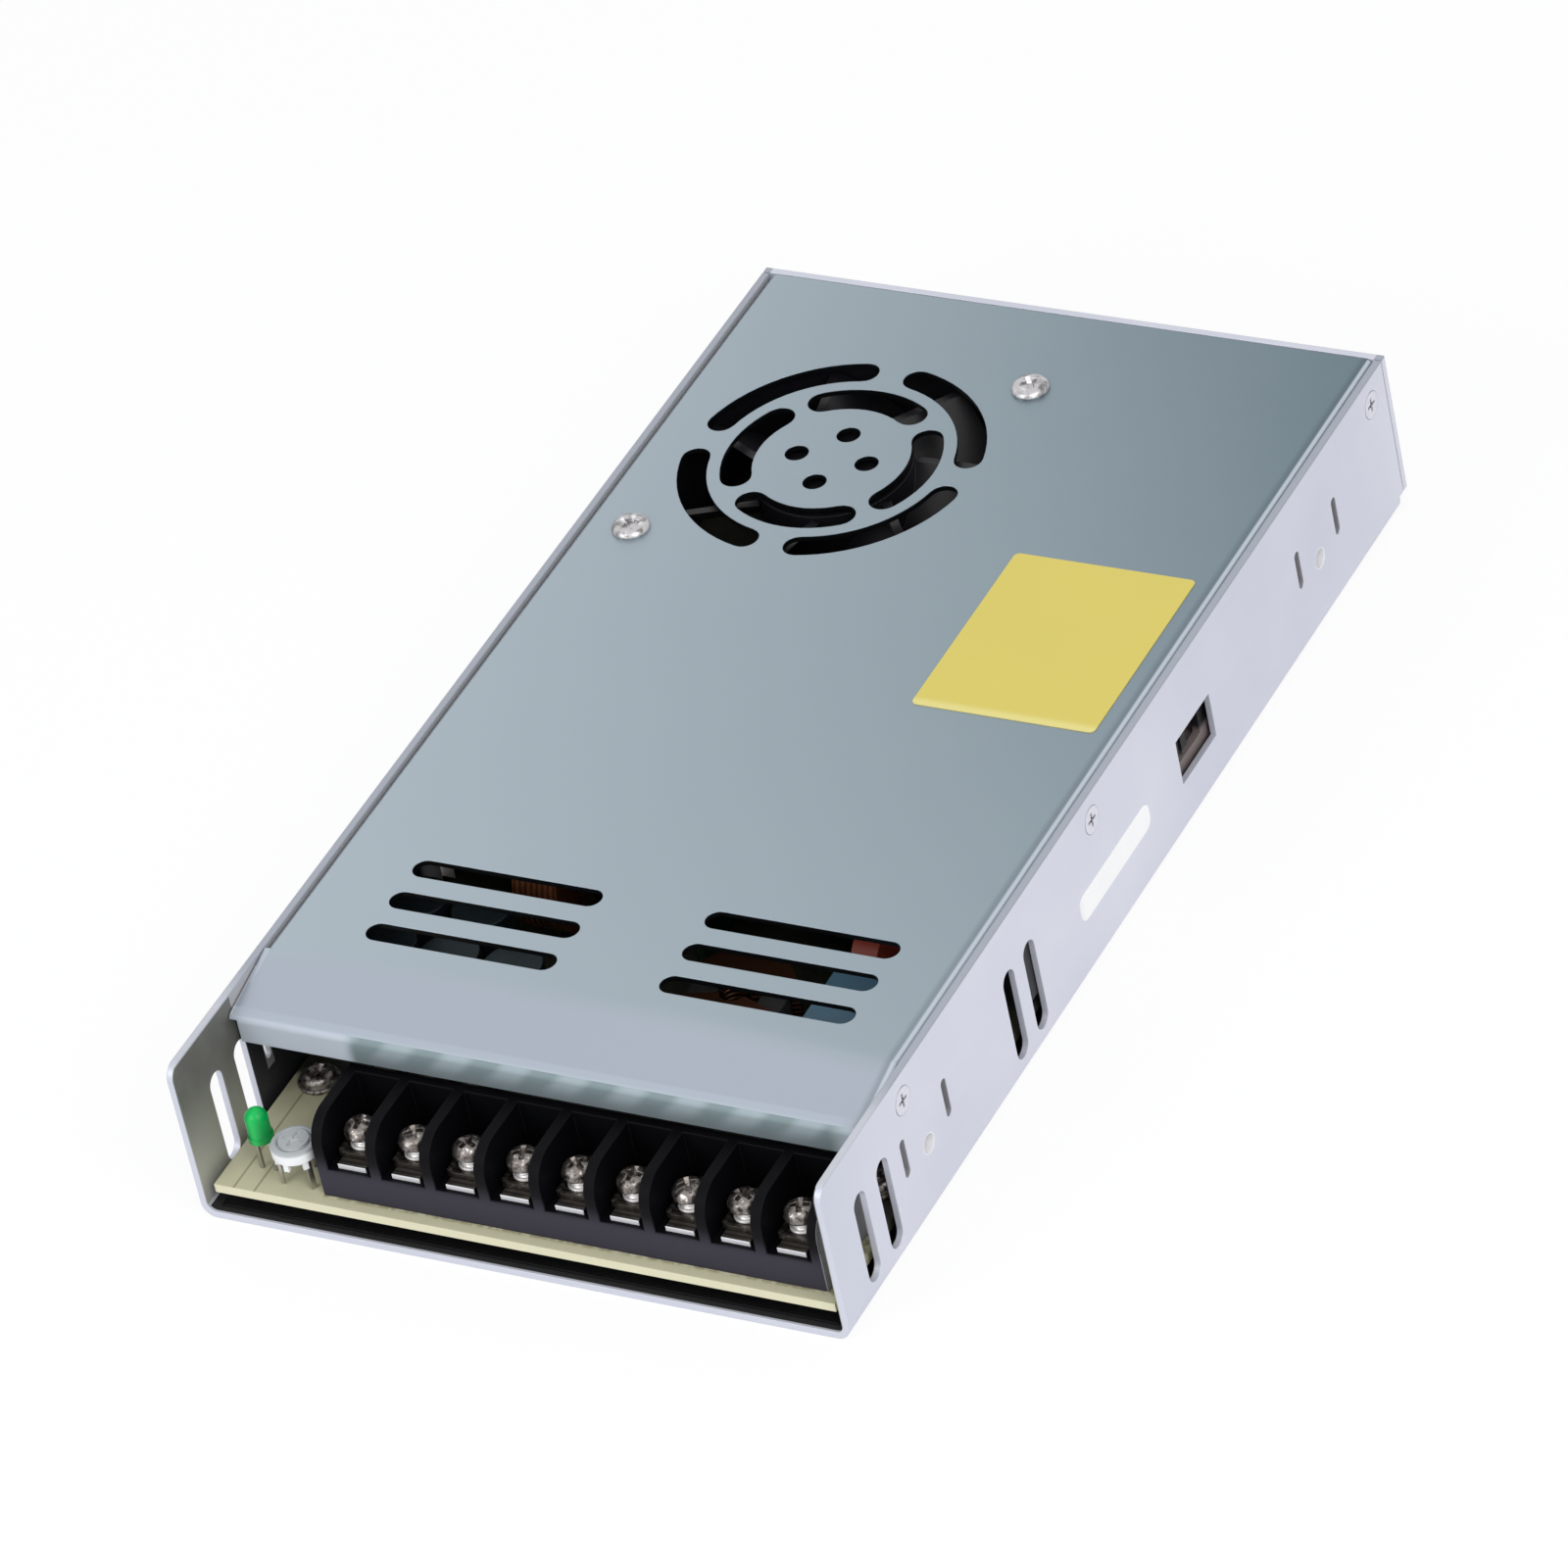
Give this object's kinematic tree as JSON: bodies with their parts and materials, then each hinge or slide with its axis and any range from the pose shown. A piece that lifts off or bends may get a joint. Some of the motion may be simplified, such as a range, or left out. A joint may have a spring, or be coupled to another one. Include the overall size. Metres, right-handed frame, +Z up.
{
  "type": "enclosed switching power supply",
  "caption": "Flat enclosed switching power supply: folded metal tray with slotted walls, screwed lid with stamped slots and a fan grille, and an open barrier terminal strip at the front end.",
  "frame": {"origin": "middle of the underside of the case", "axes": "+Y along the case from the terminal end to the fan end, +Z up through the lid, +X to the wall with the voltage selector"},
  "size_m": [0.1151, 0.215, 0.0315],
  "materials": {
    "chassis_sheet": "plain folded aluminium sheet, soft sheen",
    "cover_sheet": "zinc-coated steel sheet, bluish grey",
    "screw_steel": "nickel-plated screws",
    "yellow_label": "blank yellow label, matt",
    "white_label": "blank white label, matt",
    "black_film": "thin black insulating film",
    "board": "cream paper-based circuit board",
    "block_plastic": "black moulded plastic, dull",
    "tab_metal": "tinned contact metal",
    "led_green": "clear green moulded lens",
    "trimmer_plastic": "pale grey plastic",
    "selector_plastic": "dark grey-brown plastic",
    "slider_plastic": "grey-brown plastic",
    "fan_plastic": "black glass-filled plastic",
    "bearing_metal": "porous bronze sleeve",
    "copper": "enamelled copper wire",
    "magnet": "plastic-bonded ferrite",
    "wire_red": "red wire insulation",
    "white_plastic": "ivory connector plastic",
    "fuse_ceramic": "white ceramic tube with metal caps",
    "thermistor": "dark green coated disc",
    "varistor": "red coated disc",
    "film_cap": "grey-blue capacitor case",
    "ceramic_blue": "blue coated disc",
    "ferrite": "dark grey ferrite",
    "can_sleeve": "dark shrink sleeve over an aluminium can",
    "relay_case": "blue relay case",
    "device_epoxy": "black epoxy package",
    "bar_metal": "extruded aluminium bar",
    "bobbin_plastic": "black bobbin plastic",
    "winding_tape": "amber polyester tape over the winding",
    "choke_core": "painted iron-powder ring",
    "control_board": "green circuit board",
    "resistor": "tan resistor coating"
  },
  "bodies": {
    "case": {"chassis": "chassis_sheet", "cover": "cover_sheet", "cover_screws": "screw_steel", "cover_label": "yellow_label", "side_label": "white_label", "insulating_film": "black_film", "circuit_board": "board", "board_standoffs": "tab_metal", "board_screws": "screw_steel", "terminal_block": "block_plastic", "terminal_tabs": "tab_metal", "terminal_clamps": "tab_metal", "terminal_screws": "screw_steel", "led_lens": "led_green", "led_leads": "tab_metal", "trimmer_body": "trimmer_plastic", "trimmer_legs": "tab_metal", "selector_body": "selector_plastic", "fan_frame": "fan_plastic", "fan_bearing": "bearing_metal", "fan_stator": "copper", "fan_screws": "screw_steel", "fan_lead": "wire_red", "fan_plug": "white_plastic", "fan_header": "white_plastic", "fuse": "fuse_ceramic", "fuse_clips": "tab_metal", "inrush_thermistor": "thermistor", "surge_varistor": "varistor", "x_capacitor": "film_cap", "line_choke_core": "ferrite", "line_choke_windings": "copper", "y_capacitors": "ceramic_blue", "bridge_rectifier": "device_epoxy", "bulk_capacitors": "can_sleeve", "inrush_relay": "relay_case", "primary_transistors": "device_epoxy", "primary_clamp_bar": "bar_metal", "drive_transformer": "ferrite", "transformer_core": "ferrite", "transformer_bobbin": "bobbin_plastic", "transformer_winding": "winding_tape", "output_rectifiers": "device_epoxy", "output_clamp_bar": "bar_metal", "output_choke_core": "choke_core", "output_choke_winding": "copper", "output_capacitors": "can_sleeve", "control_board": "control_board", "control_chip": "device_epoxy", "optocouplers": "white_plastic", "load_resistors": "resistor"},
    "impeller": {"fan_impeller": "fan_plastic", "fan_magnet": "magnet", "fan_shaft": "screw_steel"},
    "trimmer": {"trimmer_rotor": "trimmer_plastic"},
    "selector": {"selector_slider": "slider_plastic"}
  },
  "joints": [
    {"name": "impeller_spin", "type": "hinge", "parent": "case", "child": "impeller", "pos_m": [-0.0224, 0.061, 0.0205], "axis": [0, 0, 1], "continuous": true},
    {"name": "trimmer_turn", "type": "hinge", "parent": "case", "child": "trimmer", "pos_m": [-0.0413, -0.1013, 0.0135], "axis": [0, 0, 1], "range_deg": [-105, 105]},
    {"name": "selector_slide", "type": "slide", "parent": "case", "child": "selector", "axis": [0, 1, 0], "range_m": [0, 0.004]}
  ]
}
